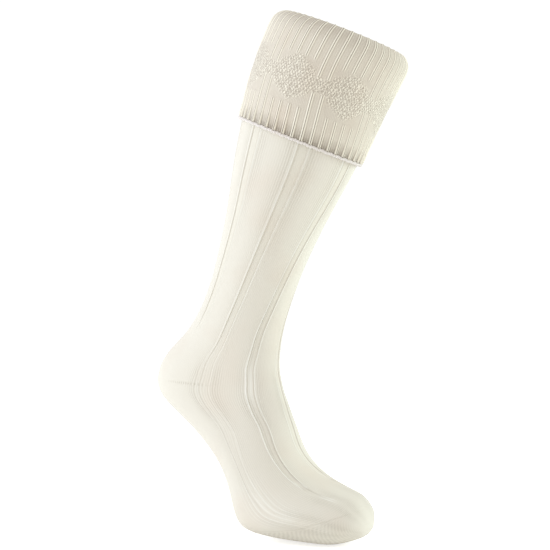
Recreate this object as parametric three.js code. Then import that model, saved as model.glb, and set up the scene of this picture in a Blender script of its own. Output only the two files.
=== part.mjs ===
// A knitted kilt hose sock with a turned-over top, standing on its toes. Millimetres, +Z up, toes towards +X.
// The origin is the centre of the mouth, where the leg goes in.
import * as THREE from "three";

// Overall sizes
const FOOT_REACH = 240; // level distance from the back of the heel to the tip of the toe
const STAND_HEIGHT = 540; // from the ground to the highest point of the fold
const FOOT_WIDTH = 96; // across the ball of the foot

// Cloth
const LEG_WALL = 2.0; // single knitted layer of the leg, heel, foot and toe
const CUFF_WALL = 2.4; // ribbed layer of the turned-over top
const CUFF_STAND_OFF = 3.3; // outside of the cuff, out from the leg's outside
const CREST_WALL = 2.8; // thickness of the fold at its crest
const TIP_WALL = 2.6; // thickness at the tip of the toe
const SEAM_GAP = 0.4; // clearance between two pieces that meet

// Turned-over top
const CUFF_DROP = 113; // fold to the bottom of the ribbing
const FOLD_DEPTH = 16; // height of the rolled fold
const FOLD_DRAW = 10; // how far the fold closes in from the cuff's outside to its crest
const LIP_DEPTH = 22; // how far the fold reaches down inside the mouth
const RIBS = 48; // narrow ribs round the cuff
const RIB_RISE = 0.9; // ribs over the ground between them
const MOSS_RISE = 0.6; // raised diamonds over the same ground
const EDGE_RADIUS = 1.5; // beaded edge at the bottom of the cuff
const EDGE_CLEARANCE = 0.9; // beaded edge off the leg's outside
const EDGE_SIDES = 6; // flats round the beaded edge's section

// Pattern repeats
const REPEATS = 8; // diamonds on the cuff and channels on the leg
const REPEAT_ANGLE = 360 / REPEATS;
const CHANNEL_HALF = 5.2; // from a channel's middle to the ridge beside it, in degrees of the round
const CHANNEL_FLOOR_HALF = 3.4; // half of the channel's floor, in degrees of the round
const CHANNEL_SINK = 0.7; // channel floor below the panels
const RIDGE_RISE = 0.3; // ridge beside a channel above the panels

// Where the pieces meet, counted in sections of the table below
const HEEL_START = 7.5;
const HEEL_END = 14;
const TOE_START = 20;

// Sections from the fold to the tip of the toe. front and back are where a section meets the shin, instep and toe
// line and the calf, heel and sole line: x as a share of FOOT_REACH from the back of the heel, z of STAND_HEIGHT from
// the ground. width: half width as a share of FOOT_WIDTH. widest: where the section is widest, from back (0) to front
// (1). fullness: 2 is an ellipse, more is boxier. medial: how far the front leans to the inner side, as a share of
// FOOT_WIDTH. turn: how far the ribs have turned towards the front, in degrees. spread: extra room between the ribs
// on the outer side, in degrees.
const SECTION_COLUMNS = [
  "frontX",
  "frontZ",
  "backX",
  "backZ",
  "width",
  "widest",
  "fullness",
  "medial",
  "turn",
  "spread",
];
const SECTIONS = [
  [1.153, 0.884, 0.613, 0.991, 0.698, 0.5, 2.0, 0.0, 25, 1], // crest of the fold
  [1.04, 0.795, 0.513, 0.899, 0.682, 0.5, 2.0, 0.0, 24, 2], // middle of the cuff
  [0.93, 0.702, 0.439, 0.799, 0.625, 0.5, 2.0, 0.0, 28, 6], // bottom of the cuff
  [0.832, 0.627, 0.391, 0.708, 0.562, 0.5, 2.0, 0.0, 28, 7], // calf
  [0.741, 0.557, 0.357, 0.623, 0.5, 0.5, 2.0, 0.0, 24, 5],
  [0.669, 0.49, 0.314, 0.548, 0.438, 0.5, 2.0, 0.0, 18, 3],
  [0.617, 0.429, 0.267, 0.482, 0.385, 0.5, 2.0, 0.0, 11, 1],
  [0.587, 0.379, 0.206, 0.424, 0.365, 0.5, 2.0, 0.0, 6, -3], // narrowest, above the ankle
  [0.576, 0.34, 0.132, 0.38, 0.354, 0.5, 2.0, 0.0, 4, -5],
  [0.576, 0.311, 0.052, 0.345, 0.354, 0.47, 2.1, 0.0, 5, -8], // bend of the ankle
  [0.585, 0.288, 0.007, 0.312, 0.354, 0.43, 2.2, 0.0, 7, -10],
  [0.598, 0.269, 0.0, 0.281, 0.354, 0.4, 2.2, 0.0, 7, -11], // back of the heel
  [0.614, 0.249, 0.036, 0.254, 0.354, 0.4, 2.2, 0.01, 6, -12],
  [0.629, 0.228, 0.106, 0.228, 0.365, 0.42, 2.2, 0.02, 5, -12], // under the heel
  [0.644, 0.205, 0.19, 0.2, 0.375, 0.45, 2.2, 0.04, 2, -9],
  [0.661, 0.179, 0.273, 0.167, 0.396, 0.45, 2.2, 0.06, -2, -5], // arch
  [0.685, 0.153, 0.344, 0.13, 0.427, 0.45, 2.2, 0.08, -5, 1],
  [0.726, 0.13, 0.392, 0.089, 0.458, 0.43, 2.3, 0.09, -3, 3],
  [0.779, 0.113, 0.42, 0.049, 0.49, 0.42, 2.3, 0.09, 1, 3],
  [0.837, 0.101, 0.461, 0.02, 0.5, 0.42, 2.3, 0.08, 3, 4], // ball of the foot
  [0.893, 0.091, 0.55, 0.008, 0.49, 0.42, 2.3, 0.07, 5, 6],
  [0.941, 0.082, 0.65, 0.002, 0.448, 0.44, 2.3, 0.05, 5, 6],
  [0.974, 0.067, 0.754, -0.001, 0.405, 0.46, 2.3, 0.03, 5, 6], // toes
  [0.991, 0.052, 0.858, -0.001, 0.315, 0.5, 2.2, 0.02, 5, 6],
  [0.994, 0.036, 0.946, 0.01, 0.18, 0.5, 2.0, 0.01, 5, 6],
  [0.993, 0.03, 0.962, 0.013, 0.12, 0.5, 2.0, 0.0, 5, 6],
  [0.983, 0.019, 0.983, 0.019, 0.0, 0.5, 2.0, 0.0, 5, 6], // tip
];
const LAST_SECTION = SECTIONS.length - 1;

// Sections at which each piece has a ring, chosen closer where it bends more
const LEG_SECTIONS = [1, 1.6, 2.2, 3, 4, 5, 6, 6.8, HEEL_START];
const BEND_SECTIONS = [HEEL_START, 8.4, 9.2, 10, 10.7, 11.4, 12.2, 13.1, HEEL_END];
const FOOT_SECTIONS = [...BEND_SECTIONS, 15, 16, 17, 18, 18.7, 19.35, TOE_START];
const TOE_SECTIONS = [TOE_START, 21, 22, 23, 24, 25];

// Profile of the rolled fold. Each row is the depth below the crest and how far it has closed in from the cuff's
// face. The face is in shares of FOLD_DEPTH and FOLD_DRAW, from the cuff up to the crest, and its hidden side is the
// same going down. The lip is in shares of LIP_DEPTH and FOLD_DRAW, from the crest down inside the mouth.
const FOLD_FACE = [
  [1.0, 0.0],
  [0.58, 0.1],
  [0.26, 0.37],
  [0.06, 0.74],
  [0.0, 1.0],
];
const FOLD_LIP = [
  [0.09, 1.28],
  [0.33, 1.22],
  [0.66, 0.96],
];
const FOLD_HIDDEN = [
  [0.375, 0.34],
  [0.75, 0.08],
];

// Natural cubic spline through one column of values at whole numbers, returned as a function of position.
function spline(values) {
  const n = values.length;
  const bend = new Array(n).fill(0);
  const lower = new Array(n).fill(0);
  const part = new Array(n).fill(0);
  for (let i = 1; i < n - 1; i++) {
    const pivot = 4 - lower[i - 1];
    lower[i] = 1 / pivot;
    const jump = 6 * (values[i + 1] - 2 * values[i] + values[i - 1]);
    part[i] = (jump - part[i - 1]) / pivot;
  }
  for (let i = n - 2; i > 0; i--) {
    bend[i] = part[i] - lower[i] * bend[i + 1];
  }
  return (position) => {
    const i = Math.min(Math.max(Math.floor(position), 0), n - 2);
    const b = position - i;
    const a = 1 - b;
    const curved = ((a ** 3 - a) * bend[i] + (b ** 3 - b) * bend[i + 1]) / 6;
    return a * values[i] + b * values[i + 1] + curved;
  };
}

const COLUMN = {};
SECTION_COLUMNS.forEach((name, k) => {
  COLUMN[name] = spline(SECTIONS.map((row) => row[k]));
});

// Middle of a section, and so the centre of the mouth for the first one
function sectionMiddle(section) {
  const x = ((COLUMN.frontX(section) + COLUMN.backX(section)) / 2) * FOOT_REACH;
  const z =
    ((COLUMN.frontZ(section) + COLUMN.backZ(section)) / 2) * STAND_HEIGHT;
  return new THREE.Vector3(x, 0, z);
}
const MOUTH = sectionMiddle(0);

// Signed power, which rounds or squares a section without changing its sign
function fullPower(value, fullness) {
  return Math.sign(value) * Math.abs(value) ** (2 / fullness);
}

// Point of the leg's outside at a section and an angle round it, in radians: 0 is the shin and instep.
function skinAt(section, angle) {
  const front = new THREE.Vector3(
    COLUMN.frontX(section) * FOOT_REACH,
    0,
    COLUMN.frontZ(section) * STAND_HEIGHT,
  );
  const back = new THREE.Vector3(
    COLUMN.backX(section) * FOOT_REACH,
    0,
    COLUMN.backZ(section) * STAND_HEIGHT,
  );
  const fullness = COLUMN.fullness(section);
  const fore = fullPower(Math.cos(angle), fullness);
  const side = fullPower(Math.sin(angle), fullness);
  const middle = back.clone().lerp(front, COLUMN.widest(section));
  const end = fore > 0 ? front : back;
  const point = middle.clone().lerp(end, Math.abs(fore));
  point.y =
    (COLUMN.width(section) * side + COLUMN.medial(section) * fore) * FOOT_WIDTH;
  return point.sub(MOUTH);
}

// Angle round the section of a rib that starts at the given degrees round the sock
function ribAngle(section, degrees) {
  const sway =
    COLUMN.spread(section) *
    Math.sin(THREE.MathUtils.degToRad(degrees + 90));
  return THREE.MathUtils.degToRad(degrees + COLUMN.turn(section) + sway);
}

// Point off the leg's outside: rise is along the outward normal; slide runs along the sock and slip round it.
function clothPoint(section, degrees, rise, slide = 0, slip = 0) {
  const step = 0.02; // small move along and round the sock, which gives the normal
  const low = Math.max(section - step, 0);
  const high = Math.min(section + step, LAST_SECTION - step);
  const angle = ribAngle(section, degrees);
  const along = skinAt(high, ribAngle(high, degrees)).sub(
    skinAt(low, ribAngle(low, degrees)),
  );
  const round = skinAt(section, angle + step).sub(skinAt(section, angle - step));
  along.normalize();
  round.normalize();
  const normal = round.clone().cross(along).negate().normalize();
  return skinAt(section, angle)
    .addScaledVector(normal, rise)
    .addScaledVector(along, slide)
    .addScaledVector(round, slip);
}

// Section number at a distance from the fold, measured along the middle of the sock
function sectionAtDrop(drop) {
  const step = 0.005;
  let travelled = 0;
  let section = 0;
  let last = sectionMiddle(0);
  while (travelled < drop) {
    section += step;
    const next = sectionMiddle(section);
    travelled += next.distanceTo(last);
    last = next;
  }
  return section;
}

// Collects corners and triangles and turns them into a geometry.
class Skin {
  constructor() {
    this.corners = [];
    this.faces = [];
  }
  corner(point) {
    this.corners.push(point.x, point.y, point.z);
    return this.corners.length / 3 - 1;
  }
  ring(points) {
    return points.map((point) => this.corner(point));
  }
  quad(a, b, c, d) {
    this.faces.push(a, b, c, a, c, d);
  }
  // Band between two closed rings; the second may have a whole number of times fewer corners.
  band(fine, coarse) {
    const ratio = fine.length / coarse.length;
    coarse.forEach((corner, j) => {
      const next = coarse[(j + 1) % coarse.length];
      for (let k = 0; k < ratio; k++) {
        const a = fine[j * ratio + k];
        const b = fine[(j * ratio + k + 1) % fine.length];
        this.faces.push(a, b, corner);
      }
      const last = fine[((j + 1) * ratio) % fine.length];
      this.faces.push(last, next, corner);
    });
  }
  flip() {
    for (let i = 0; i < this.faces.length; i += 3) {
      [this.faces[i + 1], this.faces[i + 2]] = [
        this.faces[i + 2],
        this.faces[i + 1],
      ];
    }
    return this;
  }
  geometry() {
    const made = new THREE.BufferGeometry();
    made.setAttribute(
      "position",
      new THREE.Float32BufferAttribute(this.corners, 3),
    );
    made.setIndex(this.faces);
    made.computeVertexNormals();
    return made;
  }
}

// Columns round the leg: the channel's floor and ridges, then the panel to the next channel
const PANEL_STEPS = [0.36, 0.64];
const LEG_COLUMNS = [];
for (let k = 0; k < REPEATS; k++) {
  const middle = k * REPEAT_ANGLE;
  LEG_COLUMNS.push(middle - CHANNEL_HALF);
  LEG_COLUMNS.push(middle - CHANNEL_FLOOR_HALF);
  LEG_COLUMNS.push(middle + CHANNEL_FLOOR_HALF);
  LEG_COLUMNS.push(middle + CHANNEL_HALF);
  PANEL_STEPS.forEach((share) => {
    LEG_COLUMNS.push(middle + share * REPEAT_ANGLE);
  });
}

// Channels run all round the leg, and past the heel only over the instep and along both sides of the foot.
const ANGLE_MARGIN = 0.1; // degrees, well under the space between two columns
function hasChannel(section, degrees) {
  const turned = ((degrees + 180) % 360) - 180;
  const frontHalf = Math.abs(turned) < 90 + CHANNEL_HALF + ANGLE_MARGIN;
  return section <= HEEL_START || (frontHalf && section < TOE_START);
}

// Rise of the outside at a column: ridge, channel floor or flat panel
function channelRise(section, degrees) {
  if (!hasChannel(section, degrees)) return 0;
  const nearest = Math.round(degrees / REPEAT_ANGLE) * REPEAT_ANGLE;
  const away = Math.abs(degrees - nearest);
  if (away < CHANNEL_FLOOR_HALF + ANGLE_MARGIN) return -CHANNEL_SINK;
  return away < CHANNEL_HALF + ANGLE_MARGIN ? RIDGE_RISE : 0;
}

// Closed cloth piece from the cells of a grid of sections and columns. inside says which cells it has; its edges are
// drawn back by half a seam gap wherever a neighbour meets them.
function clothPiece(sections, columns, inside) {
  const skin = new Skin();
  const count = columns.length;
  const has = (i, j) =>
    i >= 0 && i < sections.length - 1 && inside(i, (j + count) % count);
  const corners = [[], []];
  const pull = SEAM_GAP / 2;
  for (let i = 0; i < sections.length; i++) {
    for (let j = 0; j < count; j++) {
      const around = [has(i - 1, j - 1), has(i - 1, j), has(i, j - 1), has(i, j)];
      if (!around.some(Boolean)) continue;
      const above = around[0] || around[1];
      const below = around[2] || around[3];
      const before = around[0] || around[2];
      const after = around[1] || around[3];
      let slide = 0;
      let slip = 0;
      if (!above) slide = pull;
      if (!below) slide = -pull;
      if (!before) slip = pull;
      if (!after) slip = -pull;
      if (around.filter(Boolean).length === 3) {
        slide = around[0] && around[1] ? -pull : pull;
        slip = around[0] && around[2] ? -pull : pull;
      }
      const rise = channelRise(sections[i], columns[j]);
      const place = [sections[i], columns[j]];
      corners[0][i * count + j] = skin.corner(
        clothPoint(...place, rise, slide, slip),
      );
      corners[1][i * count + j] = skin.corner(
        clothPoint(...place, -LEG_WALL, slide, slip),
      );
    }
  }
  for (let i = 0; i < sections.length - 1; i++) {
    for (let j = 0; j < count; j++) {
      if (!has(i, j)) continue;
      const next = (j + 1) % count;
      const outer = [i * count + j, i * count + next];
      outer.push((i + 1) * count + next, (i + 1) * count + j);
      const [a, b, c, d] = outer.map((k) => corners[0][k]);
      const [e, f, g, h] = outer.map((k) => corners[1][k]);
      skin.quad(a, d, c, b);
      skin.quad(e, f, g, h);
      if (!has(i - 1, j)) skin.quad(a, b, f, e);
      if (!has(i + 1, j)) skin.quad(c, d, h, g);
      if (!has(i, j - 1)) skin.quad(d, a, e, h);
      if (!has(i, j + 1)) skin.quad(b, c, g, f);
    }
  }
  return skin;
}

function legGeometry() {
  const sections = [sectionAtDrop(LIP_DEPTH), ...LEG_SECTIONS];
  return clothPiece(sections, LEG_COLUMNS, () => true).geometry();
}

// True for the columns of the heel pocket, from the back ridge of one side channel to that of the other
function inHeel(column) {
  const degrees = LEG_COLUMNS[column];
  const first = 90 + CHANNEL_HALF - ANGLE_MARGIN;
  const last = 270 - CHANNEL_HALF - ANGLE_MARGIN;
  return degrees > first && degrees < last;
}

function heelGeometry() {
  return clothPiece(BEND_SECTIONS, LEG_COLUMNS, (i, j) => inHeel(j)).geometry();
}

function footGeometry() {
  const bendRows = BEND_SECTIONS.length - 1;
  const inside = (i, j) => i >= bendRows || !inHeel(j);
  return clothPiece(FOOT_SECTIONS, LEG_COLUMNS, inside).geometry();
}

function toeGeometry() {
  const skin = new Skin();
  const rings = TOE_SECTIONS.map((section, i) => {
    const slide = i === 0 ? SEAM_GAP / 2 : 0;
    return [0, -LEG_WALL].map((rise) => {
      const points = LEG_COLUMNS.map((degrees) =>
        clothPoint(section, degrees, rise, slide),
      );
      return skin.ring(points);
    });
  });
  rings.slice(1).forEach(([outer, inner], i) => {
    skin.band(rings[i][0], outer);
    skin.band(inner, rings[i][1]);
  });
  skin.band(rings[0][1], rings[0][0]);
  const tip = skinAt(LAST_SECTION, 0);
  const inward = skinAt(TOE_START, 0).add(skinAt(TOE_START, Math.PI));
  const axis = inward.multiplyScalar(0.5).sub(tip).normalize();
  const [outer, inner] = rings[rings.length - 1];
  const ends = [tip, tip.clone().addScaledVector(axis, TIP_WALL)];
  const [outerTip, innerTip] = ends.map((point) => skin.corner(point));
  outer.forEach((corner, j) => {
    const next = (j + 1) % outer.length;
    skin.faces.push(corner, outer[next], outerTip);
    skin.faces.push(inner[next], inner[j], innerTip);
  });
  return skin.flip().geometry();
}

// Half height of the raised diamonds at an angle, as a share of the cuff: a zigzag between the joins and the diamonds
const MOSS_MIDDLE = 0.515;
const MOSS_AT_JOIN = 0.07;
const MOSS_AT_DIAMOND = 0.175;
const BLOCK_TOP = 0.325;
const BLOCK_BOTTOM = 0.745;
const JOIN_RIBS_HALF = REPEAT_ANGLE / 6;

// Rise of the cuff's face: ribs above and below, plain blocks between with the raised diamonds across them
function cuffRise(share, degrees) {
  const rib = Math.round(degrees / (360 / RIBS) - 0.5) + 0.5;
  const onRib = Math.abs(degrees - (rib * 360) / RIBS) < 1;
  const nearest = Math.round(degrees / REPEAT_ANGLE) * REPEAT_ANGLE;
  const fromJoin = Math.abs(degrees - nearest);
  const zigzag = fromJoin / (REPEAT_ANGLE / 2);
  const half = MOSS_AT_JOIN + (MOSS_AT_DIAMOND - MOSS_AT_JOIN) * zigzag;
  if (Math.abs(share - MOSS_MIDDLE) < half) return MOSS_RISE;
  const inBlock = share > BLOCK_TOP && share < BLOCK_BOTTOM;
  const ribbed = !inBlock || fromJoin < JOIN_RIBS_HALF;
  return ribbed && onRib ? RIB_RISE : 0;
}

// Columns round the cuff: the hollow between two ribs, then the crown of a rib. The lining has only the hollows.
const CUFF_COLUMNS = [];
const LINING_COLUMNS = [];
for (let k = 0; k < RIBS; k++) {
  CUFF_COLUMNS.push((k * 360) / RIBS);
  CUFF_COLUMNS.push(((k + 0.5) * 360) / RIBS);
  LINING_COLUMNS.push((k * 360) / RIBS);
}

// Shares of the cuff at which its face and its hidden side have a line, from the fold to the bottom
const FACE_SHARES = [0.3, 0.345, 0.435, 0.46, 0.515, 0.57, 0.595, 0.72, 0.765, 1];
const HIDDEN_SHARES = [0.2, 0.5, 0.75, 1];

// The cuff's lines in order round its section: up the face, over the fold, down the lip inside the mouth, back up the
// lip's hidden side and down the hidden side of the cuff. Each is its columns, its drop and its rise at an angle.
function cuffLines() {
  const lines = [];
  const inner = CUFF_STAND_OFF - CUFF_WALL;
  const level = (drop, rise) => lines.push([LINING_COLUMNS, drop, () => rise]);
  [...FACE_SHARES].reverse().forEach((share) => {
    const rise = (degrees) => CUFF_STAND_OFF + cuffRise(share, degrees);
    lines.push([CUFF_COLUMNS, share * CUFF_DROP, rise]);
  });
  FOLD_FACE.forEach(([down, draw]) => {
    const face = CUFF_STAND_OFF - draw * FOLD_DRAW;
    const rise = (degrees) => face + cuffRise(0, degrees) * (1 - draw);
    lines.push([CUFF_COLUMNS, down * FOLD_DEPTH, rise]);
  });
  FOLD_LIP.forEach(([down, draw]) => {
    level(down * LIP_DEPTH, CUFF_STAND_OFF - draw * FOLD_DRAW);
  });
  level(LIP_DEPTH - SEAM_GAP, -LEG_WALL);
  level(LIP_DEPTH - SEAM_GAP, 0);
  [...FOLD_LIP].reverse().forEach(([down, draw]) => {
    const drop = Math.max(down * LIP_DEPTH, CREST_WALL);
    level(drop, CUFF_STAND_OFF - draw * FOLD_DRAW + CUFF_WALL);
  });
  FOLD_HIDDEN.forEach(([down, draw]) => {
    level(down * FOLD_DEPTH, inner - draw * FOLD_DRAW);
  });
  HIDDEN_SHARES.forEach((share) => level(share * CUFF_DROP, inner));
  return lines;
}

function cuffGeometry() {
  const skin = new Skin();
  const rings = cuffLines().map(([columns, drop, rise]) => {
    const section = sectionAtDrop(drop);
    const point = (degrees) => clothPoint(section, degrees, rise(degrees));
    return skin.ring(columns.map(point));
  });
  rings.slice(1).forEach((ring, k) => skin.band(rings[k], ring));
  // Bottom face of the ribbing, from the face to the hidden side
  const bottom = new Skin();
  bottom.band(rings[0], rings[rings.length - 1]);
  skin.faces.push(...bottom.flip().faces);
  return skin.geometry();
}

// Beaded edge under the ribbing
function cuffEdgeGeometry() {
  const skin = new Skin();
  const rings = [];
  const drop = CUFF_DROP + SEAM_GAP + EDGE_RADIUS;
  const section = sectionAtDrop(drop);
  const out = EDGE_CLEARANCE + EDGE_RADIUS;
  for (let k = 0; k < EDGE_SIDES; k++) {
    const turn = (k / EDGE_SIDES) * 2 * Math.PI;
    const points = CUFF_COLUMNS.map((degrees) =>
      clothPoint(
        section,
        degrees,
        out + EDGE_RADIUS * Math.cos(turn),
        EDGE_RADIUS * Math.sin(turn),
      ),
    );
    rings.push(skin.ring(points));
  }
  rings.forEach((ring, k) => skin.band(ring, rings[(k + 1) % EDGE_SIDES]));
  return skin.flip().geometry();
}

// Undyed cream wool, one finish for each piece
function wool(colour, roughness) {
  return new THREE.MeshStandardMaterial({
    color: new THREE.Color(colour),
    roughness,
    metalness: 0,
  });
}

const PIECES = [
  ["cuff", cuffGeometry, wool("#e6dcc8", 0.95)],
  ["cuff_edge", cuffEdgeGeometry, wool("#ece4d2", 0.95)],
  ["leg", legGeometry, wool("#efe8d9", 0.9)],
  ["heel", heelGeometry, wool("#efe8da", 0.9)],
  ["foot", footGeometry, wool("#f0e9db", 0.9)],
  ["toe", toeGeometry, wool("#efe7d8", 0.9)],
];

const sock = new THREE.Group();
sock.name = "kilt_hose_sock";
PIECES.forEach(([name, build, material]) => {
  const mesh = new THREE.Mesh(build(), material);
  mesh.name = name;
  sock.add(mesh);
});

export default sock;
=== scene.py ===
"""Looks of a knitted kilt hose sock in undyed cream wool, on its toes on a plain pale floor.

The sock is one form: a table of sections from the fold of the turned-over top to the tip of the toe, each section a
ring, with the stitches counted round it in degrees from the shin. Each piece is a patch of that form with its own
relief: ribs and diamonds on the cuff, sunk channels on the leg and instep, a line of small holes at the heel, a seam
round the toe. The stitches finer than that are in the wool's material, which reads a map of wales and courses that
each mesh carries; it gives them bumps, painted shade in their grooves, holes and channel floors, and painted
highlights on their raised wales. Lengths are in metres unless a name says millimetres.
"""

import logging
import math
from dataclasses import dataclass, field
from enum import Enum
from typing import Optional

import bpy
import numpy as np
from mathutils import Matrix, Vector


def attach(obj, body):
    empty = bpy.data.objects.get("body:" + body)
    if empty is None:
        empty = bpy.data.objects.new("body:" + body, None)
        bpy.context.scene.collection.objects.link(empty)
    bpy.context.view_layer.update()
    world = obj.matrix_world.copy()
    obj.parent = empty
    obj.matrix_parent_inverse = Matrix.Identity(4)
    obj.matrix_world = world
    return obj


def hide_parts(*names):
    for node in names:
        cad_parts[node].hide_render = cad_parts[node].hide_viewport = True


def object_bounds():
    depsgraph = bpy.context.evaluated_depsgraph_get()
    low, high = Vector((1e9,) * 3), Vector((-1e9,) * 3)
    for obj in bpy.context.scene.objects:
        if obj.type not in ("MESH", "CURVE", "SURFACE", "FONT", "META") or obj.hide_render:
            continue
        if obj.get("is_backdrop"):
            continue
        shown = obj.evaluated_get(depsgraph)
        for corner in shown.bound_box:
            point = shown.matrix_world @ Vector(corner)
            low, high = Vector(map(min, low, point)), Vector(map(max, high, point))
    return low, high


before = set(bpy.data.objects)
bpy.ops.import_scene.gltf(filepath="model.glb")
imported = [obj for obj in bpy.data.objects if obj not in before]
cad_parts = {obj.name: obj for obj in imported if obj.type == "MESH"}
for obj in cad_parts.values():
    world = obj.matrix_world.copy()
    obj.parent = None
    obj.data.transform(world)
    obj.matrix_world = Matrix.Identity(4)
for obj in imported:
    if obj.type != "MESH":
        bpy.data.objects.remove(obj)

LOG = logging.getLogger("kilt_hose_sock")
MM = 0.001

# Overall sizes of the form, and of the cloth
FOOT_REACH = 0.240  # level distance from the back of the heel to the tip of the toe
STAND_HEIGHT = 0.540  # from the ground to the highest point of the fold
FOOT_WIDTH = 0.096  # across the ball of the foot
LEG_WALL = 2.0 * MM
CUFF_WALL = 2.4 * MM
CUFF_STAND_OFF = 3.3 * MM  # outside of the cuff off the leg's outside
CUFF_DROP = 113.0 * MM  # fold to the bottom of the ribbing

# Counts and angles of the pattern
REPEATS = 8  # diamonds on the cuff, and channels on the leg
REPEAT_ANGLE = 360.0 / REPEATS
RIBS = 48
RIB_ANGLE = 360.0 / RIBS
CHANNEL_HALF = 5.2  # from a channel's middle to the ridge beside it, in degrees of the round
HEEL_START = 7.5
HEEL_HOLES = 10.65  # section of the line of small holes
HEEL_END = 14.0
TOE_START = 20.0

# Sections from the fold to the tip of the toe, as shares of FOOT_REACH, STAND_HEIGHT and FOOT_WIDTH: where the section
# meets the front line (shin, instep, toes) and the back line (calf, heel, sole), its half width, where it is widest
# from back to front, how full it is (2 is an ellipse), how far its front leans to the inner side, and how far the
# stitches have turned and spread, in degrees.
SECTION_COLUMNS = (
    "front_x",
    "front_z",
    "back_x",
    "back_z",
    "width",
    "widest",
    "fullness",
    "medial",
    "turn",
    "spread",
)
SECTIONS = (
    (1.153, 0.884, 0.613, 0.991, 0.698, 0.5, 2.0, 0.0, 25, 1),  # crest of the fold
    (1.04, 0.795, 0.513, 0.899, 0.682, 0.5, 2.0, 0.0, 24, 2),
    (0.93, 0.702, 0.439, 0.799, 0.625, 0.5, 2.0, 0.0, 28, 6),  # bottom of the cuff
    (0.832, 0.627, 0.391, 0.708, 0.562, 0.5, 2.0, 0.0, 28, 7),
    (0.741, 0.557, 0.357, 0.623, 0.5, 0.5, 2.0, 0.0, 24, 5),
    (0.669, 0.49, 0.314, 0.548, 0.438, 0.5, 2.0, 0.0, 18, 3),
    (0.617, 0.429, 0.267, 0.482, 0.385, 0.5, 2.0, 0.0, 11, 1),
    (0.587, 0.379, 0.206, 0.424, 0.365, 0.5, 2.0, 0.0, 6, -3),  # narrowest
    (0.576, 0.34, 0.132, 0.38, 0.354, 0.5, 2.0, 0.0, 4, -5),
    (0.576, 0.311, 0.052, 0.345, 0.354, 0.47, 2.1, 0.0, 5, -8),
    (0.585, 0.288, 0.007, 0.312, 0.354, 0.43, 2.2, 0.0, 7, -10),
    (0.598, 0.269, 0.0, 0.281, 0.354, 0.4, 2.2, 0.0, 7, -11),  # back of the heel
    (0.614, 0.249, 0.036, 0.254, 0.354, 0.4, 2.2, 0.01, 6, -12),
    (0.629, 0.228, 0.106, 0.228, 0.365, 0.42, 2.2, 0.02, 5, -12),
    (0.644, 0.205, 0.19, 0.2, 0.375, 0.45, 2.2, 0.04, 2, -9),
    (0.661, 0.179, 0.273, 0.167, 0.396, 0.45, 2.2, 0.06, -2, -5),  # arch
    (0.685, 0.153, 0.344, 0.13, 0.427, 0.45, 2.2, 0.08, -5, 1),
    (0.726, 0.13, 0.392, 0.089, 0.458, 0.43, 2.3, 0.09, -3, 3),
    (0.779, 0.113, 0.42, 0.049, 0.49, 0.42, 2.3, 0.09, 1, 3),
    (0.837, 0.101, 0.461, 0.02, 0.5, 0.42, 2.3, 0.08, 3, 4),  # ball of the foot
    (0.893, 0.091, 0.55, 0.008, 0.49, 0.42, 2.3, 0.07, 5, 6),
    (0.941, 0.082, 0.65, 0.002, 0.448, 0.44, 2.3, 0.05, 5, 6),
    (0.974, 0.067, 0.754, -0.001, 0.405, 0.46, 2.3, 0.03, 5, 6),
    (0.991, 0.052, 0.858, -0.001, 0.315, 0.5, 2.2, 0.02, 5, 6),
    (0.994, 0.036, 0.946, 0.01, 0.18, 0.5, 2.0, 0.01, 5, 6),
    (0.993, 0.03, 0.962, 0.013, 0.12, 0.5, 2.0, 0.0, 5, 6),
    (0.983, 0.019, 0.983, 0.019, 0.0, 0.5, 2.0, 0.0, 5, 6),  # tip
)

Array = np.ndarray
Socket = bpy.types.NodeSocket
Term = Socket | float


class Layer(Enum):
    """Numbers that a mesh carries on its points for the wool's material to read."""

    DEPTH = "stitch_depth"
    MOSS = "moss"
    RIB = "rib"
    # Painted shade on sunk ground and in narrow grooves, and painted highlights on raised wales.
    PAINTED_RECESS_SHADE = "painted_recess_shade"
    LINE = "line"
    PAINTED_HIGHLIGHT = "crest"


def ease(value: Array, low: float, high: float) -> Array:
    """Smooth step from 0 at low to 1 at high, flat outside.

    Args:
        value: numbers to map.
        low: where the step starts.
        high: where it ends; it may be under low, which turns the step round.

    Returns:
        Numbers from 0 to 1, 3x squared less 2x cubed of the way from low to high.
    """
    share = np.clip((value - low) / (high - low), 0.0, 1.0)
    return share * share * (3.0 - 2.0 * share)


def bump_of(value: Array, middle: float | Array, half: float) -> Array:
    """Rounded hump, 1 at the middle and 0 from half away on: the squared cosine of the distance."""
    away = np.clip(np.abs(value - middle) / half, 0.0, 1.0)
    return np.cos(away * math.pi / 2.0) ** 2


def from_shin(degrees: Array) -> Array:
    """Degrees from the middle of the shin, 0 to 180 either way round."""
    return np.abs((degrees + 180.0) % 360.0 - 180.0)


def from_channel(degrees: Array) -> Array:
    """Degrees from the middle of the nearest channel or join of diamonds, negative before it."""
    return (degrees + REPEAT_ANGLE / 2) % REPEAT_ANGLE - REPEAT_ANGLE / 2


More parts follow.
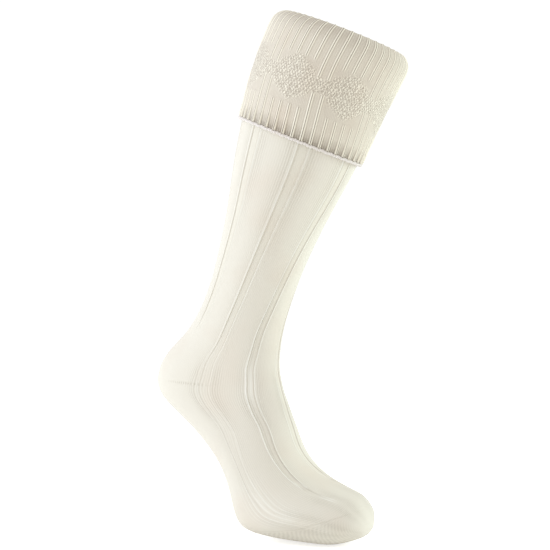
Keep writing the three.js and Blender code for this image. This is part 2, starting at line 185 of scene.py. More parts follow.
@dataclass
class Spline:
    """Natural cubic spline through rows of values at whole numbers.

    Attributes:
        rows: one row of values for each whole number.
    """

    rows: Array
    bend: Array = field(init=False)

    def __post_init__(self) -> None:
        """Solves for the second derivatives: 1, 4, 1 across each inner row, none at the two ends."""
        count = len(self.rows)
        matrix = np.eye(count)
        inner = np.arange(1, count - 1)
        matrix[inner, inner] = 4.0
        matrix[inner, inner - 1] = matrix[inner, inner + 1] = 1.0
        jump = np.zeros_like(self.rows)
        jump[1:-1] = 6.0 * (self.rows[2:] - 2.0 * self.rows[1:-1] + self.rows[:-2])
        self.bend = np.linalg.solve(matrix, jump)

    def at(self, place: Array) -> Array:
        """Values at places between the rows.

        Args:
            place: positions, 0 for the first row.

        Returns:
            An array with one more axis than place, for the columns of the rows.
        """
        place = np.asarray(place, float)
        low = np.clip(np.floor(place).astype(int), 0, len(self.rows) - 2)
        after = (place - low)[..., None]
        before = 1.0 - after
        straight = before * self.rows[low] + after * self.rows[low + 1]
        curved = (before**3 - before) * self.bend[low]
        curved = curved + (after**3 - after) * self.bend[low + 1]
        return straight + curved / 6.0


class SockForm:
    """The sock's outside as a function of a section and an angle round it."""

    STEP = 0.02  # small move along and round the sock, which gives the normal

    def __init__(self) -> None:
        """Puts splines through the sections and measures along their middles."""
        self.spline = Spline(np.array(SECTIONS, float))
        self.last = len(SECTIONS) - 1
        self.mouth = self.middle(np.array(0.0))
        self.fine = np.linspace(0.0, self.last, 2601)
        steps = np.linalg.norm(np.diff(self.middle(self.fine), axis=0), axis=1)
        self.travelled = np.concatenate([[0.0], np.cumsum(steps)])

    def columns(self, section: Array) -> dict[str, Array]:
        """The table's columns at sections, by name."""
        values = self.spline.at(section)
        return {name: values[..., k] for k, name in enumerate(SECTION_COLUMNS)}

    def middle(self, section: Array) -> Array:
        """Middle of each section, between its front and its back line, from the ground and the heel."""
        c = self.columns(section)
        x = (c["front_x"] + c["back_x"]) / 2.0 * FOOT_REACH
        z = (c["front_z"] + c["back_z"]) / 2.0 * STAND_HEIGHT
        return np.stack([x, np.zeros_like(x), z], axis=-1)

    def section_at(self, drop: Array) -> Array:
        """Section at a distance from the fold, measured along the sections' middles."""
        return np.interp(drop, self.travelled, self.fine)

    def drop_at(self, section: Array) -> Array:
        """Distance of a section from the fold, measured along the sections' middles."""
        return np.interp(section, self.fine, self.travelled)

    def angle(self, section: Array, degrees: Array) -> Array:
        """Angle round a section, in radians, of the wale that starts at the given degrees."""
        c = self.columns(section)
        sway = c["spread"] * np.cos(np.radians(degrees))
        return np.radians(degrees + c["turn"] + sway)

    def skin(self, section: Array, angle: Array) -> Array:
        """Points of the leg's outside.

        A ring is a superellipse: the cosine and the sine of the angle, each to the power 2 over the fullness, carry
        the point from the widest line to the front or back line, and out to the sides.

        Args:
            section: sections, counted from the fold.
            angle: angles round them in radians, 0 at the shin.

        Returns:
            Points with the centre of the mouth at the origin.
        """
        c = self.columns(section)
        power = 2.0 / c["fullness"]
        fore = np.sign(np.cos(angle)) * np.abs(np.cos(angle)) ** power
        side = np.sign(np.sin(angle)) * np.abs(np.sin(angle)) ** power
        reach = np.abs(fore)
        ahead = fore > 0
        level = []
        for axis, size in (("x", FOOT_REACH), ("z", STAND_HEIGHT)):
            front, back = c["front_" + axis], c["back_" + axis]
            middle = back + (front - back) * c["widest"]
            end = np.where(ahead, front, back)
            level.append((middle + (end - middle) * reach) * size)
        y = (c["width"] * side + c["medial"] * fore) * FOOT_WIDTH
        return np.stack([level[0], y, level[1]], axis=-1) - self.mouth

    def cloth(self, section: Array, degrees: Array, rise: Array, slide: Array | float = 0.0) -> Array:
        """Points off the leg's outside.

        Args:
            section: sections, counted from the fold.
            degrees: wales, in degrees round the sock.
            rise: distance out along the normal, the cross product of the ways along and round.
            slide: distance down along the sock.

        Returns:
            The points.
        """
        section, degrees = np.broadcast_arrays(np.asarray(section, float), np.asarray(degrees, float))
        low = np.maximum(section - self.STEP, 0.0)
        high = np.minimum(section + self.STEP, self.last - self.STEP)
        angle = self.angle(section, degrees)
        along = self.skin(high, self.angle(high, degrees)) - self.skin(low, self.angle(low, degrees))
        around = self.skin(section, angle + self.STEP) - self.skin(section, angle - self.STEP)
        along /= np.linalg.norm(along, axis=-1, keepdims=True)
        around /= np.linalg.norm(around, axis=-1, keepdims=True)
        normal = -np.cross(around, along)
        normal /= np.linalg.norm(normal, axis=-1, keepdims=True)
        rise = np.broadcast_to(rise, section.shape)[..., None]
        slide = np.broadcast_to(slide, section.shape)[..., None]
        return self.skin(section, angle) + normal * rise + along * slide


FORM = SockForm()


@dataclass
class Shell:
    """A closed wall of cloth between an outer and an inner grid of points.

    Attributes:
        name: name of the piece.
        outer: points of the outside, rows along the sock and columns round it.
        inner: points of the inside, in the same rows and columns.
        knit: wales and courses at each point of the outside; a closed round has one more column, for its seam.
        layers: numbers for the material at each point of the outside.
        closed: whether the last column meets the first.
        tips: outer and inner point that close the far end, where it has one.
        loop: whether the last row of each grid meets the first, as in a tube bent into a ring.
    """

    name: str
    outer: Array
    inner: Optional[Array]
    knit: Array
    layers: dict[Layer, Array]
    closed: bool = True
    tips: Optional[Array] = None
    loop: bool = False

    def _quads(self) -> tuple[list[Array], list[Array]]:
        """Corner numbers of the faces, and the matching places in the map of wales and courses."""
        rows, columns = self.outer.shape[:2]
        faces: list[Array] = []
        maps: list[Array] = []

        def add(*corners: tuple[Array | int, Array | int, int]) -> None:
            """Adds faces whose corners each have a row, a column and a side, 0 outside and 1 inside."""
            faces.append(np.stack([(i % rows + s * rows) * columns + j % columns for i, j, s in corners], axis=1))
            maps.append(np.stack([i * self.knit.shape[1] + j for i, j, _ in corners], axis=1))

        down = np.arange(rows if self.loop else rows - 1)
        along = np.arange(columns if self.closed else columns - 1)
        i, j = (grid.ravel() for grid in np.meshgrid(down, along, indexing="ij"))
        square = [(i, j), (i + 1, j), (i + 1, j + 1), (i, j + 1)]
        add(*[(*corner, 0) for corner in square])
        if self.inner is None:
            return faces, maps
        add(*[(*corner, 1) for corner in square[::-1]])
        for row, way in ((0, 1), (rows - 1, -1))[: 1 if self.tips is not None else 2]:
            a, b = (along, along + 1)[::way]
            add((row, a, 0), (row, b, 0), (row, b, 1), (row, a, 1))
        for column, way in () if self.closed else ((0, -1), (columns - 1, 1)):
            a, b = (down, down + 1)[::way]
            add((a, column, 0), (b, column, 0), (b, column, 1), (a, column, 1))
        return faces, maps

    def _fans(self) -> tuple[list[Array], list[Array]]:
        """Triangles that close the far end on the outer and the inner tip."""
        rows, columns = self.outer.shape[:2]
        j = np.arange(columns)
        shift = rows * columns
        last = shift - columns
        ring, following = last + j, last + (j + 1) % columns
        tip = np.full(columns, 2 * shift)
        outside = np.stack([following, ring, tip], axis=1)
        inside = np.stack([ring + shift, following + shift, tip + 1], axis=1)
        spots = (rows - 1) * self.knit.shape[1] + np.stack([j + 1, j, j], axis=1)
        return [outside, inside], [spots, spots[:, [1, 0, 2]]]

    def _crease(self, mesh: bpy.types.Mesh) -> None:
        """Keeps the shading of the outside apart from that of the cut edges, so neighbours meet without a line.

        Args:
            mesh: the finished mesh, whose border edges become sharp.
        """
        if self.inner is None:
            return
        border = np.zeros(self.outer.shape[:2], bool)
        border[0] = True
        border[-1] = self.tips is None
        if not self.closed:
            border[:, [0, -1]] = True
        whole = np.zeros(len(mesh.vertices), bool)
        whole[: border.size] = border.ravel()
        whole[border.size : 2 * border.size] = border.ravel()
        ends = np.empty(len(mesh.edges) * 2, np.int32)
        mesh.edges.foreach_get("vertices", ends)
        sharp = whole[ends.reshape(-1, 2)].all(axis=1)
        mesh.edges.foreach_set("use_edge_sharp", sharp)

    def build(self) -> bpy.types.Object:
        """Makes the mesh, its map of wales and courses and its layers.

        Returns:
            The object, linked to the scene, with its place in its mesh.
        """
        points = [self.outer.reshape(-1, 3)]
        if self.inner is not None:
            points.append(self.inner.reshape(-1, 3))
        faces, maps = self._quads()
        if self.tips is not None:
            points.append(self.tips)
            fans, fan_maps = self._fans()
            faces, maps = faces + fans, maps + fan_maps
        vertices = np.concatenate(points)
        mesh = bpy.data.meshes.new(self.name)
        mesh.vertices.add(len(vertices))
        mesh.vertices.foreach_set("co", vertices.astype(np.float32).ravel())
        loops = np.concatenate([f.ravel() for f in faces])
        sizes = np.concatenate([np.full(len(f), f.shape[1]) for f in faces])
        starts = np.concatenate([[0], np.cumsum(sizes)[:-1]])
        mesh.loops.add(len(loops))
        mesh.loops.foreach_set("vertex_index", loops.astype(np.int32))
        mesh.polygons.add(len(sizes))
        mesh.polygons.foreach_set("loop_start", starts.astype(np.int32))
        mesh.update(calc_edges=True)
        mesh.shade_smooth()
        spots = np.concatenate([m.ravel() for m in maps])
        uv = mesh.uv_layers.new(name="knit")
        flat = self.knit.reshape(-1, 2)[spots]
        uv.data.foreach_set("uv", flat.astype(np.float32).ravel())
        for layer in Layer:
            values = self.layers.get(layer, np.zeros(1))
            whole = np.zeros(len(vertices), np.float32)
            whole[: values.size] = values.ravel()
            made = mesh.attributes.new(layer.value, "FLOAT", "POINT")
            made.data.foreach_set("value", whole)
        self._crease(mesh)
        piece = bpy.data.objects.new(self.name, mesh)
        bpy.context.scene.collection.objects.link(piece)
        return piece


def linear(hex_colour: str) -> tuple[float, float, float, float]:
    """Linear colour of an sRGB hex value.

    Args:
        hex_colour: such as "#efe8d9".

    Returns:
        Red, green, blue and 1.
    """
    parts = [int(hex_colour[k : k + 2], 16) / 255.0 for k in (1, 3, 5)]
    bright = [c / 12.92 if c <= 0.04045 else ((c + 0.055) / 1.055) ** 2.4 for c in parts]
    return (bright[0], bright[1], bright[2], 1.0)


def add_node(
    tree: bpy.types.NodeTree,
    kind: str,
    links: Optional[dict[int | str, Socket]] = None,
    values: Optional[dict[int | str, object]] = None,
    **settings: object,
) -> bpy.types.Node:
    """Adds a node with its settings, fixed inputs and links.

    Args:
        tree: node tree that gets it.
        kind: Blender's name of the node's class.
        links: input names or numbers with the sockets that feed them.
        values: input names or numbers with fixed values.
        settings: properties of the node itself.

    Returns:
        The node.
    """
    made = tree.nodes.new(kind)
    for name, value in settings.items():
        setattr(made, name, value)
    for key, value in (values or {}).items():
        made.inputs[key].default_value = value
    for key, socket in (links or {}).items():
        tree.links.new(socket, made.inputs[key])
    return made


class Formula:
    """Small sums on node sockets, so that a pattern's formula reads as one."""

    def __init__(self, tree: bpy.types.NodeTree) -> None:
        """Keeps the tree that gets the nodes."""
        self.tree = tree

    def math(self, operation: str, *terms: Term) -> Socket:
        """Result of one Math node.

        Args:
            operation: Blender's name of the operation.
            terms: sockets or numbers.

        Returns:
            The node's output.
        """
        links = {k: t for k, t in enumerate(terms) if isinstance(t, Socket)}
        values = {k: t for k, t in enumerate(terms) if k not in links}
        made = add_node(self.tree, "ShaderNodeMath", links=links, values=values, operation=operation)
        return made.outputs[0]

    def layer(self, layer: Layer) -> Socket:
        """A layer of numbers that the mesh carries."""
        made = add_node(self.tree, "ShaderNodeAttribute", attribute_name=layer.value)
        return made.outputs["Fac"]

    def blend(self, share: Term, first: Term, second: Term) -> Socket:
        """First where the share is 0, second where it is 1, in a straight line between."""
        gap = self.math("SUBTRACT", second, first)
        return self.math("MULTIPLY_ADD", gap, share, first)

    def colour(self, share: Term, first: object, second: object, how: str = "MIX") -> Socket:
        """Mix of two colours.

        Args:
            share: how much of the second.
            first: socket or colour.
            second: socket or colour.
            how: Blender's name of the way to mix.

        Returns:
            The mixed colour.
        """
        terms = {"Factor": share, "A": first, "B": second}
        made = add_node(self.tree, "ShaderNodeMix", data_type="RGBA", blend_type=how, clamp_result=True)
        for name, term in terms.items():
            socket = next(s for s in made.inputs if s.name == name and s.enabled)
            if isinstance(term, Socket):
                self.tree.links.new(term, socket)
            else:
                socket.default_value = term
        return next(s for s in made.outputs if s.enabled)


@dataclass(frozen=True)
class KnittedWool:
    """Undyed wool, spun soft and knitted: matt, with painted highlights on the crowns, painted shade in the grooves
    and a soft fuzz at the edges.

    Attributes:
        name: the finish's name.
        yarn: colour of the plain ground.
        groove: colour in the grooves between wales, where yarn shades yarn.
        hollow: colour of painted shade on sunk ground.
        line: colour of painted shade in the deep narrow grooves.
        crest: colour of painted highlights on the raised wales.
        cavity: how much of the painted groove shade shows in a full groove.
        blush: how pink the warmer patches are.
        rib_wales: wales in a rib's angle, none for wool without ribs.
        fuzz_mm: size of the specks of loose fibre.
        fuzz_depth_mm: how far the fibre stands up.
        sheen: weight of the fuzz's glow at grazing angles.
    """

    name: str
    yarn: str
    groove: str
    hollow: str
    line: str
    crest: str
    cavity: float
    blush: float
    rib_wales: float = 0.0
    fuzz_mm: float = 0.9
    fuzz_depth_mm: float = 0.05
    sheen: float = 0.18

    # Moss stitch: how far the noise shifts it, in wales and courses, and half knots in a course
    WALE_SWAY = 3.4
    COURSE_SWAY = 6.0
    KNOTS_PER_COURSE = 0.44
    # A rib's marks: distance from the rib's middle and half width, as shares of its angle, and strength, else 1
    # CROWN and PURL place painted highlights, SIDE_GROOVE and MIDDLE_GROOVE painted shade.
    CROWN = (0.11, 0.085, 1.7)
    PURL = (0.39, 0.06, 0.35)
    SIDE_GROOVE = (0.19, 0.05, 0.4)
    MIDDLE_GROOVE = (0.0, 0.05)
    # How strongly a moss knot gets a painted highlight and the gap beside it painted shade
    KNOT_LIGHT = 2.0
    GAP_DARK = -0.25

    def _noise(self, tree: bpy.types.NodeTree, place: Socket, **values: float) -> bpy.types.Node:
        """Adds a noise texture over a place, with its inputs' values."""
        return add_node(tree, "ShaderNodeTexNoise", links={"Vector": place}, values=values)

    def _place(self, tree: bpy.types.NodeTree) -> list[Socket]:
        """Wale and course numbers at the shaded point."""
        knit = add_node(tree, "ShaderNodeUVMap", uv_map="knit")
        parts = add_node(tree, "ShaderNodeSeparateXYZ", links={0: knit.outputs[0]})
        return [parts.outputs[0], parts.outputs[1]]

    def _plain(self, f: Formula, wale: object, course: object) -> Socket:
        """Height of plain stitches: a cosine across each wale, times a wave that slopes to its edges as small Vs."""
        crown = f.math("COSINE", f.math("MULTIPLY", wale, math.tau))
        crown = f.math("POWER", f.math("MULTIPLY_ADD", crown, 0.5, 0.5), 0.6)
        slant = f.math("ABSOLUTE", f.math("SUBTRACT", f.math("FRACT", wale), 0.5))
        beat = f.math("COSINE", f.math("MULTIPLY", f.math("ADD", course, slant), math.tau))
        return f.math("MULTIPLY", crown, f.math("MULTIPLY_ADD", beat, 0.14, 0.86))

    def _moss(self, f: Formula, wale: object, course: object) -> Socket:
        """Height of moss stitches from -1 to 1: a checkerboard of knots, set a little unevenly as hand tension does.

        The sine across the wales times the sine along the courses, both shifted by a soft noise.
        """
        spot = add_node(f.tree, "ShaderNodeCombineXYZ", links={0: wale, 1: course}).outputs[0]
        uneven = self._noise(f.tree, spot, Scale=0.55, Detail=2.0).outputs["Color"]
        shift = add_node(f.tree, "ShaderNodeSeparateXYZ", links={0: uneven})
        wale = f.math("MULTIPLY_ADD", shift.outputs[0], self.WALE_SWAY, wale)
        course = f.math("MULTIPLY_ADD", shift.outputs[1], self.COURSE_SWAY, course)
        across = f.math("SINE", f.math("MULTIPLY", wale, math.pi))
        along = f.math("SINE", f.math("MULTIPLY", course, math.pi * self.KNOTS_PER_COURSE))
        return f.math("MULTIPLY", across, along)

    def _ridge(self, f: Formula, away: object, middle: float, half: float) -> Socket:
        """Peak of 1 at a distance and 0 from half away on, with straight sides."""
        gap = f.math("ABSOLUTE", f.math("SUBTRACT", away, middle))
        return f.math("MAXIMUM", f.math("MULTIPLY_ADD", gap, -1.0 / half, 1.0), 0.0)

    def _marks(self, f: Formula, wale: object, moss: object) -> tuple[Socket, Socket]:
        """How much of the painted highlight colour and of the painted shade colour shows.

        A rib gets painted highlights on its two wales, painted shade in the groove between them and weaker painted
        shade along each side. A knot of moss stitch gets a painted highlight where it stands up and painted shade in
        the gap beside it.

        Args:
            f: the tree's formulas.
            wale: wale number.
            moss: height of the moss stitches.

        Returns:
            The two shares.
        """
        crest, line = f.layer(Layer.PAINTED_HIGHLIGHT), f.layer(Layer.LINE)
        if not self.rib_wales:
            return crest, line
        across = f.math("FRACT", f.math("DIVIDE", wale, self.rib_wales))
        away = f.math("ABSOLUTE", f.math("SUBTRACT", across, 0.5))
        rib, zone = f.layer(Layer.RIB), f.layer(Layer.MOSS)
        # Painted highlights on the rib's crowns and purl, painted shade in its grooves.
        crowns, purls, sides = (
            f.math("MULTIPLY", self._ridge(f, away, middle, half), strength)
            for middle, half, strength in (self.CROWN, self.PURL, self.SIDE_GROOVE)
        )
        crowns = f.math("ADD", f.math("MINIMUM", crowns, 1.0), purls)
        crest = f.math("MULTIPLY_ADD", crowns, rib, crest)
        grooves = f.math("ADD", sides, self._ridge(f, away, *self.MIDDLE_GROOVE))
        line = f.math("MULTIPLY_ADD", grooves, rib, line)
        # Painted highlight on each moss knot, painted shade in the gap beside it.
        knots, gaps = (
            f.math("MINIMUM", f.math("MAXIMUM", f.math("MULTIPLY", moss, gain), 0.0), 1.0)
            for gain in (self.KNOT_LIGHT, self.GAP_DARK)
        )
        crest = f.math("MULTIPLY_ADD", knots, zone, crest)
        line = f.math("MULTIPLY_ADD", gaps, zone, line)
        return crest, line

    def material(self) -> bpy.types.Material:
        """Builds the finish.

        Returns:
            The material, which reads the mesh's map of wales and courses and its layers.
        """
        made = bpy.data.materials.new(self.name)
        made.use_nodes = True
        tree = made.node_tree
        tree.nodes.clear()
        f = Formula(tree)
        wale, course = self._place(tree)
        plain, moss = self._plain(f, wale, course), self._moss(f, wale, course)
        height = f.blend(f.layer(Layer.MOSS), plain, f.math("MULTIPLY_ADD", moss, 0.5, 0.5))
        place = add_node(tree, "ShaderNodeTexCoord").outputs["Object"]
        fuzz = self._noise(tree, place, Scale=1.0 / (self.fuzz_mm * MM), Detail=2.0, Roughness=0.6)
        cloud = self._noise(tree, place, Scale=22.0, Detail=1.0, Roughness=0.5)
        stitch = f.math("MULTIPLY", height, f.layer(Layer.DEPTH))
        fibre = f.math("MULTIPLY", fuzz.outputs[0], self.fuzz_depth_mm * MM)
        relief = f.math("ADD", stitch, fibre)
        values = {"Strength": 1.0, "Distance": 1.0}
        bump = add_node(tree, "ShaderNodeBump", links={"Height": relief}, values=values)
        # Painted shade in the grooves between stitches, stronger where the stitches are deeper.
        full_depth = 0.3 * MM
        strength = f.math("DIVIDE", f.layer(Layer.DEPTH), full_depth)
        groove = f.math("MULTIPLY", f.math("SUBTRACT", 1.0, height), strength)
        groove = f.math("MINIMUM", f.math("MULTIPLY", groove, self.cavity), 1.0)
        crest, line = self._marks(f, wale, moss)
        # Painted groove shade, painted shade on sunk ground and in narrow grooves, then painted highlights on raised
        # wales.
        colour = f.colour(groove, linear(self.yarn), linear(self.groove))
        colour = f.colour(f.layer(Layer.PAINTED_RECESS_SHADE), colour, linear(self.hollow))
        colour = f.colour(line, colour, linear(self.line))
        colour = f.colour(crest, colour, linear(self.crest))
        blush = f.math("MAXIMUM", f.math("MULTIPLY_ADD", cloud.outputs[0], 4.0, -1.9), 0.0)
        colour = f.colour(f.math("MULTIPLY", blush, self.blush), colour, linear("#f8ece6"), "MULTIPLY")
        links = {"Base Color": colour, "Normal": bump.outputs[0]}
        values = {
            "Roughness": 0.95,
            "Specular IOR Level": 0.15,
            "Sheen Weight": self.sheen,
            "Sheen Roughness": 0.4,
            "Sheen Tint": linear("#f2f3f6"),
        }
        shader = add_node(tree, "ShaderNodeBsdfPrincipled", links=links, values=values)
        add_node(tree, "ShaderNodeOutputMaterial", links={"Surface": shader.outputs[0]})
        return made


# groove, hollow and line are colours of painted shade, crest the colour of painted highlights.
CUFF_WOOL = KnittedWool(
    name="ribbed_cream_wool",
    yarn="#d9d0c1",
    groove="#bdb2a2",
    hollow="#ccc3b3",
    line="#91877a",
    crest="#f1ead9",
    cavity=0.5,
    blush=0.3,
    rib_wales=6.0,
)
EDGE_WOOL = KnittedWool(
    name="cast_off_cream_wool",
    yarn="#e6dfd9",
    groove="#bdb2a6",
    hollow="#ccc3b3",
    line="#a0968a",
    crest="#f0e9d8",
    cavity=0.6,
    blush=0.2,
)
LEG_WOOL = KnittedWool(
    name="stocking_stitch_cream_wool",
    yarn="#e2dccf",
    groove="#bfb8a8",
    hollow="#dfd9cb",
    line="#aea694",
    crest="#f3f1e8",
    cavity=0.55,
    blush=0.25,
)


def knit_map(wales_per_turn: float, degrees: Array, drop: Array, course_mm: float) -> Array:
    """Map of wales and courses over a grid.

    Args:
        wales_per_turn: wales in a whole round.
        degrees: the columns' degrees, one past the last column where the round is closed.
        drop: the rows' distances from the fold.
        course_mm: height of one course.

    Returns:
        Grid of wale and course numbers: degrees over 360 times the wales, and the drop over the course's height.
    """
    wale, course = np.meshgrid(degrees / 360.0 * wales_per_turn, drop / (course_mm * MM), indexing="xy")
    return np.stack([wale, course], axis=-1)


@dataclass
class Piece:
    """A sub-assembly of the sock that stands for nodes of the frame.

    Attributes:
        name: name of the piece.
        nodes: frame nodes that it stands for.
        slot: material slot of the record; not used.
        finish: its wool.
    """

    name: str
    nodes: tuple[str, ...]
    slot: str
    finish: KnittedWool

    def shell(self) -> Shell:
        """The piece's wall of cloth; each kind of piece makes its own."""
        raise NotImplementedError

    def build(self) -> bpy.types.Object:
        """Makes the mesh, dresses it and ties it to the frame.

        Returns:
            The finished object.
        """
        made = self.shell().build()
        made.name = self.name + "_knit"
        made.data.materials.append(self.finish.material())
        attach(made, "root")
        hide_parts(*self.nodes)
        LOG.info("%s: %d faces", made.name, len(made.data.polygons))
        return made


@dataclass
class Cuff(Piece):
    """The turned-over top: ribs, plain blocks with moss-stitch diamonds across them, and the rolled fold.

    Attributes:
        rib_half: half a rib's width as a share of the rib's angle; a rib is two wales with a groove between.
        rib_rise: crown of a rib above the ground.
        foot_rise: further rise of the ribs where the edge draws the ribbing in.
        moss_rise: ground of the diamonds above the plain ground.
        block_top: share of the cuff at which the ribs stop.
        block_bottom: share at which they start again.
        join_top: share at which the two ribs at each join of diamonds stop.
        join_bottom: share at which those start again.
        moss_middle: share at the middle of the diamonds.
        moss_join: half height of the moss stitch at the joins, as a share.
        moss_peak: half height at the middle of a diamond.
        face_rows: rows of points on the face.
        fold_rows: rows over the fold and down the lip.
    """

    name: str = "cuff"
    nodes: tuple[str, ...] = ("cuff",)
    slot: str = "cuff_wool"
    finish: KnittedWool = CUFF_WOOL
    rib_half: float = 0.17
    rib_rise: float = 0.8 * MM
    foot_rise: float = 0.7 * MM
    moss_rise: float = 0.35 * MM
    block_top: float = 0.325
    block_bottom: float = 0.745
    join_top: float = 0.447
    join_bottom: float = 0.586
    moss_middle: float = 0.515
    moss_join: float = 0.07
    moss_peak: float = 0.203
    face_rows: int = 66
    fold_rows: int = 24

    # Places across one rib's angle that have a column: few in the hollow, more on the two crowns
    COLUMN_SHARES = (
        0.0, 0.14, 0.25, 0.315, 0.34, 0.37, 0.415, 0.455, 0.48,
        0.5, 0.52, 0.545, 0.585, 0.63, 0.66, 0.685, 0.75, 0.86,
    )  # fmt: skip
    # The fold from the face over the crest and down the lip: depth under the crest and rise off the leg, in mm
    FOLD_MM = (
        (16.0, 3.3), (9.3, 2.3), (4.2, -0.4), (1.0, -4.1), (0.0, -6.7), (2.0, -9.5),
        (7.3, -8.9), (14.5, -6.3), (21.6, -2.4),
    )  # fmt: skip
    # Back up the lip's hidden side and down the cuff's
    HIDDEN_MM = (
        (21.6, 0.0), (14.5, -3.9), (7.3, -6.5), (2.8, -7.1), (6.0, -2.5), (12.0, 0.1),
        (22.6, 0.9), (56.5, 0.9), (84.0, 0.9), (113.0, 0.9),
    )  # fmt: skip

    def columns(self) -> Array:
        """Degrees of the columns: the chosen shares of each rib's angle."""
        ribs = np.arange(RIBS)[:, None] * RIB_ANGLE
        return (ribs + np.array(self.COLUMN_SHARES) * RIB_ANGLE).ravel()

    def masks(self, share: Array, degrees: Array) -> tuple[Array, Array]:
        """Where the ribs and the moss stitch are.

        The ribs stop and start at two shares of the cuff, later and sooner for the two at each join. The moss stitch
        lies within a zigzag round the cuff's middle, narrow at the joins and wide at the diamonds, its sides a little
        hollowed so that the diamonds come to a point.

        Args:
            share: shares of the cuff from the fold.
            degrees: wales, in degrees.

        Returns:
            Two grids from 0 to 1.
        """
        from_join = np.abs(from_channel(degrees))
        at_join = from_join < RIB_ANGLE
        stop = np.where(at_join, self.join_top, self.block_top)
        start = np.where(at_join, self.join_bottom, self.block_bottom)
        soft, hollowed = 0.008, 1.15
        ribs = np.maximum(ease(share - stop, soft, -soft), ease(share - start, -soft, soft))
        zigzag = (from_join / (REPEAT_ANGLE / 2)) ** hollowed
        half = self.moss_join + (self.moss_peak - self.moss_join) * zigzag
        moss = ease(np.abs(share - self.moss_middle) - half, 3.5 * soft, -3.0 * soft)
        return ribs, moss * (1.0 - ribs)

    def rib_profile(self, degrees: Array) -> Array:
        """Rib across its angle, from 0 in the hollow to 1 on the crowns.

        Two half circles side by side, with the groove between them filled to a third, inside an envelope that falls
        off with the fourth power towards the rib's sides.
        """
        across = ((degrees / RIB_ANGLE) % 1.0 - 0.5) / self.rib_half
        inside = np.abs(across) < 1.0
        away = np.minimum(np.abs(across), 1.0)
        lobes = np.sqrt(np.maximum(1.0 - (2.0 * away - 1.0) ** 2, 0.0))
        return np.where(inside, (1.0 - away**4) * (0.3 + 0.7 * lobes), 0.0)

    def relief(self, share: Array, degrees: Array) -> Array:
        """Rise of the face: ribs, higher at the bottom edge, and the ground of the diamonds."""
        ribs, moss = self.masks(share, degrees)
        crown = self.rib_rise + self.foot_rise * ease(share, 0.86, 0.98)
        sink = 0.5 * self.foot_rise * ease(share, 0.86, 0.98)
        profile = self.rib_profile(degrees)
        return ribs * (profile * crown - (1.0 - profile) * sink) + moss * self.moss_rise

    def shell(self) -> Shell:
        """The cuff as a loop of rows: up the face, over the fold, down the lip and back behind.

        The section is a line of depths and rises; the relief moves each point along that line's own normal, so the
        ribs stand out from the face, up from the crest and inwards from the lip.
        """
        top = self.FOLD_MM[0][0] * MM
        face = np.linspace(CUFF_DROP, top, self.face_rows)
        face_line = np.stack([face, np.full(self.face_rows, CUFF_STAND_OFF)], axis=1)
        fold = Spline(np.array(self.FOLD_MM) * MM)
        fold_line = fold.at(np.linspace(0, len(self.FOLD_MM) - 1, self.fold_rows))[1:]
        seen = np.concatenate([face_line, fold_line])
        line = np.concatenate([seen, np.array(self.HIDDEN_MM) * MM])
        way = np.gradient(line, axis=0)
        way /= np.linalg.norm(way, axis=1, keepdims=True)
        out = np.stack([way[:, 1], -way[:, 0]], axis=1)
        weight = np.zeros(len(line))
        weight[: self.face_rows] = 1.0
        weight[self.face_rows : len(seen)] = np.linspace(1.0, 0.35, len(seen) - self.face_rows)
        degrees = self.columns()
        depth, wales = np.meshgrid(line[:, 0], degrees, indexing="ij")
        share = depth / CUFF_DROP
        share[len(seen) :] = 1.0
        rise = self.relief(share, wales) * weight[:, None]
        drop = line[:, :1] + rise * out[:, :1]
        lift = line[:, 1:] + rise * out[:, 1:]
        below = np.maximum(drop, 0.0)
        points = FORM.cloth(FORM.section_at(below), wales, lift, drop - below)
        ribs, moss = self.masks(share, wales)
        # Painted shade in the rib hollows above the bottom edge, and over the top of the face and the fold.
        hollow = (1.0 - self.rib_profile(wales)) * ribs
        painted_shade = hollow * (0.35 * ease(share, 0.87, 0.95) + 0.4 * ease(share, 0.95, 0.985))
        painted_shade = painted_shade + 0.2 * ease(share, 0.24, 0.03)
        shown = np.where(np.arange(len(line)) < len(seen), 1.0, 0.3)[:, None]
        around = np.append(degrees, 360.0)
        run = np.concatenate([[0.0], np.cumsum(np.linalg.norm(np.diff(line, axis=0), axis=1))])
        return Shell(
            name=self.name,
            outer=points[::-1],
            inner=None,
            knit=knit_map(RIBS * 6.0, around, np.append(run[::-1], -0.001), 1.15),
            layers={
                Layer.DEPTH: ((0.17 + 0.3 * moss) * shown * MM)[::-1],
                Layer.MOSS: moss[::-1],
                Layer.RIB: (ribs * shown)[::-1],
                Layer.LINE: (painted_shade * shown)[::-1],
            },
            loop=True,
        )


